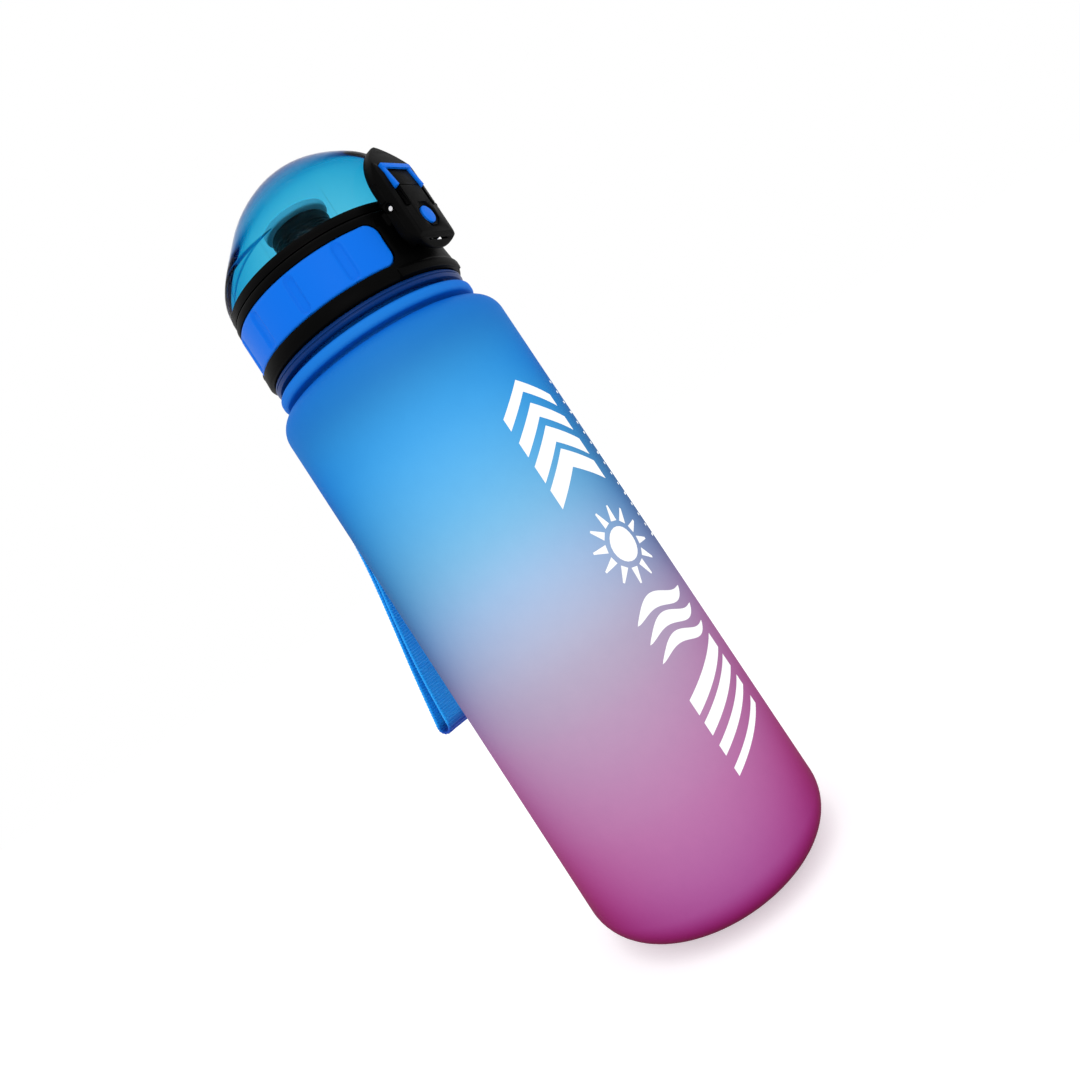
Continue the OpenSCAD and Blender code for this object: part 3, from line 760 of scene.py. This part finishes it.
def lid_rim(steps=192):
    """Black band moulded round and under the foot of the lid."""
    low, high = RIM_Z
    under, deep = LID_Z - 0.03, -0.5
    section = [(low, RIM_PROUD), (high - 0.12, RIM_PROUD), (high, -0.05), (high, deep),
               (under, deep), (under, -LID_WALL), (low, -LID_WALL)]
    rings = []
    for k in range(steps):
        turn = 2 * math.pi * k / steps
        ring = []
        for height, proud in section:
            reach = lid_reach(turn, height) + proud
            ring.append((reach * math.cos(turn), reach * math.sin(turn), height))
        rings.append(ring)
    return swept("lid_rim", rings, loop=True)


def hinge_notch():
    """Room for the hinge at the back of the lid."""
    return prism("notch", [(25.5, 178), (32, 178), (32, 185.3), (25.5, 185.3)], -8.4, 8.4)


def build_lid(clear, core, crease, silicone, black):
    place(boolean(lid_shell(), hinge_notch(), "DIFFERENCE"), "lid", "dome_lid", clear)
    place(boolean(lid_rim(), hinge_notch(), "DIFFERENCE"), "lid", None, black)
    wall_outline = [(24.0, 181.1), (25.48, 181.1), (25.48, 185.32),
                    (26.4, 185.32), (26.2, 186.3), (24.0, 186.3)]
    wall = prism("notch_wall", wall_outline, -9.3, 9.3)
    place(wall, "lid", None, clear)
    place(boss_tube(), "lid", None, core)
    for side_name, side in (("left", 1), ("right", -1)):
        for edge_name, upper in (("upper", True), ("lower", False)):
            rib = crease_rib(f"lid_crease_{edge_name}_{side_name}", side, upper)
            place(rib, "lid", None, crease)
    for name, x0 in (("hinge_eye_left", -5.0), ("hinge_eye_right", 2.4)):
        place(hinge_eye(name, x0, x0 + 2.6), "lid", None, clear)
    lip_outline = [(-28.9, 186.0), (-28.7, 185.9), (-27.9, 185.9),
                   (-27.9, 187.8), (-28.6, 187.8), (-28.9, 187.5)]
    lip = prism("catch_lip", lip_outline, -5.0, 5.0)
    place(lip, "lid", None, clear)
    plug = rounded_copy("lid_seal", "seal_plug", 0.3)
    place(plug, "lid", "seal_plug", silicone)


# ---------- cap ----------

SKIRT_IN = 25.7
SKIRT_OUT = 27.0
DECK_Z = (177.3, 178.9)
LIP_R = 28.2
LIP_Z = (160.2, 162.2)
WINDOW_Z = (166.3, 178.0)
WINDOW_TURN = (21.7, 149.3)
WINDOW_CORNER = 3.4
PAD_R = 28.5
FLUTE_STEP = 27.4
FLUTE_HALF = 1.55
FLUTE_DEEP = 0.55


def pad_surface(along, height):
    """Radius of a grip pad: round edges and four upright flutes with half-round ends."""
    low, high = (math.radians(a) * PAD_R for a in WINDOW_TURN)
    middle, half = (low + high) / 2, (high - low) / 2 - 0.15
    centre, tall = sum(WINDOW_Z) / 2, (WINDOW_Z[1] - WINDOW_Z[0]) / 2 - 0.15
    corner = WINDOW_CORNER
    across = abs(along) - middle
    dx, dz = max(abs(across) - half + corner, 0), max(abs(height - centre) - tall + corner, 0)
    edge = corner - math.hypot(dx, dz)
    if dx == 0 and dz == 0:
        edge = min(half - abs(across), tall - abs(height - centre))
    radius = PAD_R
    soft = 0.45
    if edge < soft:
        radius -= soft - math.sqrt(max(soft * soft - (soft - edge) ** 2, 0))
    for k in (-1.5, -0.5, 0.5, 1.5):
        spot = middle + math.radians(k * FLUTE_STEP) * PAD_R
        foot, head = WINDOW_Z[0] + 0.7 + FLUTE_HALF, WINDOW_Z[1] - 0.7 - FLUTE_HALF
        gap = math.hypot(abs(along) - spot, max(foot - height, height - head, 0))
        share = min(max((FLUTE_HALF - gap) / 0.6, 0), 1)
        radius -= FLUTE_DEEP * share * share * (3 - 2 * share)
    return radius


def grip_pad(name, side):
    low, high = (side * math.radians(a) * PAD_R for a in WINDOW_TURN)
    low, high = min(low, high) + 0.15, max(low, high) - 0.15
    z0, z1 = WINDOW_Z[0] + 0.15, WINDOW_Z[1] - 0.15
    outline = rounded([(low, z0, 3.3), (high, z0, 3.3), (high, z1, 3.3), (low, z1, 3.3)], 10)
    inner = SKIRT_OUT - 0.2
    patch = flat_patch([outline], (0.3, 0.4))
    for v in patch.verts:
        v.co.x *= inner / PAD_R
    return wrapped(name, patch, lambda along, height: pad_surface(along * PAD_R / inner, height), inner)


def screw_cap():
    """Skirt and deck in one section, open for the stub of the spout; the lip under the skirt is a piece of
    its own.
    """
    section = rounded([
        (6.8, DECK_Z[0], 0.1), (SKIRT_IN, DECK_Z[0], 0.3), (SKIRT_IN, LIP_Z[1], 0.1),
        (SKIRT_OUT, LIP_Z[1], 0.1), (SKIRT_OUT, DECK_Z[1], 0.4),
        (9.5, DECK_Z[1], 0.05), (9.5, DECK_Z[1] - 0.7, 0.05), (8.1, DECK_Z[1] - 0.7, 0.05),
        (8.1, DECK_Z[1], 0.05), (6.8, DECK_Z[1], 0.1)])
    cap = lathe("screw_cap", section, 192)
    hole = lathe("vent_hole", [(0, 176), (1.6, 176), (1.6, 180), (0, 180)], 48)
    hole.location = (0, -17 * MM, 0)
    return boolean(cap, hole, "DIFFERENCE")


def cap_lip():
    """Rim under the skirt, with two fine grooves round it."""
    low, high = LIP_Z
    return lathe("cap_lip", rounded([
        (SKIRT_IN, high, 0.1), (SKIRT_IN, low, 0.3), (LIP_R - 0.5, low, 0.3), (LIP_R, low + 0.5, 0.15),
        (LIP_R, low + 0.8, 0.08), (LIP_R - 0.3, low + 0.9, 0.05), (LIP_R - 0.3, low + 1.1, 0.05),
        (LIP_R, low + 1.2, 0.08), (LIP_R, low + 1.5, 0.05), (LIP_R - 0.25, low + 1.6, 0.05),
        (LIP_R - 0.25, high, 0.2)]), 192)


def spout_outline():
    """Section of the spout: flange, straight wall with fine turned rings, round mouth."""
    inside = [(5.0, 194.5), (5.0, 176.1), (5.3, 175.7)]
    foot = [(6.3, 175.7), (6.7, 176.1), (6.7, 178.92), (12.7, 178.92), (12.7, 180.2), (12.4, 180.5),
            (9.7, 180.5), (8.9, 180.8), (SPOUT_R, 181.6)]
    rings = []
    z = 182.2
    while z < 193.6:
        rings += [(SPOUT_R, z), (SPOUT_R, z + 0.42), (SPOUT_R - 0.14, z + 0.56), (SPOUT_R - 0.14, z + 0.76)]
        z += 0.9
    mouth = arc((SPOUT_R - 2.0, SPOUT_TOP - 2.0), (2.0, 2.0), 0, 88, 12) + [(5.15, SPOUT_TOP - 0.15)]
    return inside + foot + rings + mouth


def build_cap(blue, lip, black, dark, silicone, steel, blackened):
    place(screw_cap(), "cap", "cap_base", blue)
    # the lip gets a darker blue that is painted shade between the collar and the flange
    place(cap_lip(), "cap", None, lip)
    place(thread_ridge("cap_thread", SKIRT_IN, 24.15, 162, 2, -270), "cap", None, blue)
    for name, side in (("grip_pad_left", -1), ("grip_pad_right", 1)):
        place(grip_pad(name, side), "cap", None, blue)
    place(lathe("drink_spout", spout_outline(), 160), "cap", "spout", dark)
    for name, node, body, slot_name, material, width in (
            ("collar", "cap_collar", "cap", "black_cap", black, 0.28),
            ("rocker", "latch_lever", "latch", "black_cap", black, 0.35),
            ("lock", "lock_slider", "lock", "blue_cap", blue, 0.22),
            ("badge", "press_badge", "latch", "blue_cap", blue, 0.25),
            ("air_valve", "vent_valve", "cap", "silicone", silicone, 0.15)):
        place(rounded_copy(name, node, width), body, node, material)
    for node, metal in (("hinge_pin", steel), ("lid_spring", steel), ("latch_pin", steel),
                        ("latch_spring", blackened)):
        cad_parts[node].data.materials.clear()
        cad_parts[node].data.materials.append(metal)
    for node in ("spout_ring", "cap_gasket"):
        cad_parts[node].data.materials.clear()
        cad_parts[node].data.materials.append(silicone)


# ---------- strap ----------

# Middle of the outer and of the inner layer of the loop, as (distance behind the axis, height)
STRAP_OUTER = [(31.5, 171), (31.5, 164), (32.2, 158), (34.2, 153), (35.4, 148), (37.3, 129), (39.5, 112),
               (43.0, 96), (46.9, 80), (50.5, 63.1)]
STRAP_INNER = [(46.4, 63.1), (44.5, 80), (41.6, 96), (38.1, 112), (35.9, 129), (34.0, 148.5), (32.7, 153),
               (30.4, 158), (29.4, 164), (27.7, 171)]
STRAP_FOLD = (48.45, 63.1, 2.05)
STRAP_BAR = (29.6, 171.0, 1.9)
RIB = 0.85                      # one rib of the webbing, along the strap


def smooth_curve(points, count):
    """Catmull-Rom curve through points."""
    curve = []
    for i in range(len(points) - 1):
        a, b = Vector(points[max(i - 1, 0)]), Vector(points[i])
        c, d = Vector(points[i + 1]), Vector(points[min(i + 2, len(points) - 1)])
        for k in range(count):
            t = k / count
            curve.append(0.5 * (2 * b + (c - a) * t + (2 * a - 5 * b + 4 * c - d) * t * t
                                + (3 * b - a - 3 * c + d) * t ** 3))
    return curve + [Vector(points[-1])]


def strap_line():
    """Closed middle line of the loop."""
    fold = [Vector(p) for p in arc(STRAP_FOLD[:2], (STRAP_FOLD[2],) * 2, -15, -165, 10)]
    bar = [Vector(p) for p in arc(STRAP_BAR[:2], (STRAP_BAR[2],) * 2, 165, 15, 10)]
    return smooth_curve(STRAP_OUTER, 12) + fold + smooth_curve(STRAP_INNER, 12) + bar


def even_points(line, step):
    """The closed line again, with points step apart, and its length."""
    lengths = [(line[(i + 1) % len(line)] - line[i]).length for i in range(len(line))]
    total = sum(lengths)
    count = round(total / step)
    spots, i, passed = [], 0, 0.0
    for k in range(count):
        want = total * k / count
        while passed + lengths[i] < want:
            passed += lengths[i]
            i += 1
        spots.append(line[i].lerp(line[(i + 1) % len(line)], (want - passed) / lengths[i]))
    return spots, total


def strap_section(along, half_width, half_thick):
    """Section across the webbing: ribs raise both faces, the yarns wave across them."""
    rib = 0.13 * math.sin(2 * math.pi * along / RIB)
    yarn_turn = math.pi if int(2 * along / RIB) % 4 > 1 else 0
    count = 22
    upper, lower = [], []
    for k in range(count + 1):
        x = half_width * math.cos(math.pi * k / count)
        share = abs(x) / half_width
        edge = math.sqrt(max(1 - max(share - 0.95, 0) ** 2 / 0.05 ** 2, 0))
        weave = 0.04 * math.sin(2 * math.pi * x / 1.1 + yarn_turn)
        upper.append((x, (half_thick + rib + weave) * edge))
        lower.append((-x, -(half_thick - rib + weave) * edge))
    return upper[:-1] + lower[:-1]


def strap_skew(x, height):
    """Drop of the loop's far edge, growing towards its lower end."""
    share = min(max((100 - height) / 37, 0), 1)
    return 0.085 * (x + STRAP_W / 2) * share * share * (3 - 2 * share)


def build_strap(material, thread):
    spots, total = even_points(strap_line(), 0.17)
    count = len(spots)
    ribs = round(total / RIB)
    rings = []
    for k, spot in enumerate(spots):
        ahead = (spots[(k + 1) % count] - spots[k - 1]).normalized()
        out = Vector((-ahead.y, ahead.x))
        along = ribs * RIB * k / count
        ring = []
        for x, lift in strap_section(along, STRAP_W / 2, STRAP_T / 2 - 0.14):
            at = spot + out * lift
            ring.append((x, at.x, at.y - strap_skew(x, at.y)))
        rings.append(ring)
    webbing_loop = swept("webbing_loop", rings, loop=True, smooth_angle=70)
    place(webbing_loop, "strap", "strap", material)
    stitches = strap_stitches(spots, total)
    place(stitches, "strap", None, thread)


def strap_stitches(spots, total):
    """Two bar tacks of zigzag thread where the loop's ends are sewn together, on its outer face."""
    radius = 0.16
    points, faces = [], []
    for start in (20.0, 27.0):
        line = []
        turns = 26
        for k in range(turns + 1):
            x = -STRAP_W / 2 + 1.0 + (STRAP_W - 2.0) * k / turns
            spot_index = int(((start + (1.5 if k % 2 else -1.5)) / total) * len(spots))
            here = spots[spot_index]
            ahead = (spots[spot_index + 1] - spots[spot_index - 1]).normalized()
            out = Vector((-ahead.y, ahead.x)) * (STRAP_T / 2 + 0.12)
            line.append(Vector((x, here.x + out.x, here.y + out.y)))
        for a, b in zip(line, line[1:]):
            along = (b - a).normalized()
            side = along.cross(Vector((0, 1, 0.1))).normalized()
            up = along.cross(side)
            base = len(points)
            for end, share in ((a, 0.5), (a.lerp(b, 0.2), 1.0), (a.lerp(b, 0.8), 1.0), (b, 0.5)):
                for i in range(8):
                    turn = 2 * math.pi * i / 8
                    out = side * math.cos(turn) + up * math.sin(turn)
                    points.append(tuple(end + out * radius * share))
            for ring in range(3):
                for i in range(8):
                    j = (i + 1) % 8
                    faces.append((base + ring * 8 + i, base + ring * 8 + j,
                                  base + ring * 8 + 8 + j, base + ring * 8 + 8 + i))
            faces.append(tuple(base + i for i in range(8)))
            faces.append(tuple(base + 24 + i for i in reversed(range(8))))
    return add_piece("strap_stitches", points, faces)


# ---------- the scene ----------

add_camera()
add_studio()
frosted = frosted_material()
blue_plastic = plastic("blue_cap", (0, 102, 212), 0.4, 0.48, 0.08)
# the lip's darker blue is painted shade, where the lip lies in shadow between the collar and the flange
shaded_lip_plastic = plastic("cap_lip", (0, 44, 104), 0.3, 0.4, 0.1)
black_plastic = plastic("black_cap", (2, 2, 2), 0.4, 0.52, 0.03)
clear_plastic = clear_material("clear_blue", 1.06, 0.06, 600)
clear_core = clear_material("clear_core", 1.001, 0.0, 0)
clear_crease = clear_material("clear_crease", 1.06, 0.0, 5200)
silicone_rubber = plastic("silicone", (214, 224, 230), 0.5, 0.62)
steel_metal = steel_material()
blackened_steel = plastic("spring_black", (8, 9, 10), 0.4, 0.55, 0.1)
webbing = webbing_material()
white_ink = plastic("print_ink", (240, 241, 241), 0.45, 0.6, 0.3, 5200, 0.08)
dark_plastic = plastic("black_spout", (2, 10, 12), 0.4, 0.5, 0.1)
strap_thread = plastic("strap_thread", (14, 96, 200), 0.6, 0.8, 0.2)
build_bottle(frosted)
build_print(white_ink)
build_cap(blue_plastic, shaded_lip_plastic, black_plastic, dark_plastic, silicone_rubber, steel_metal,
          blackened_steel)
build_lid(clear_plastic, clear_core, clear_crease, silicone_rubber, black_plastic)
build_strap(webbing, strap_thread)
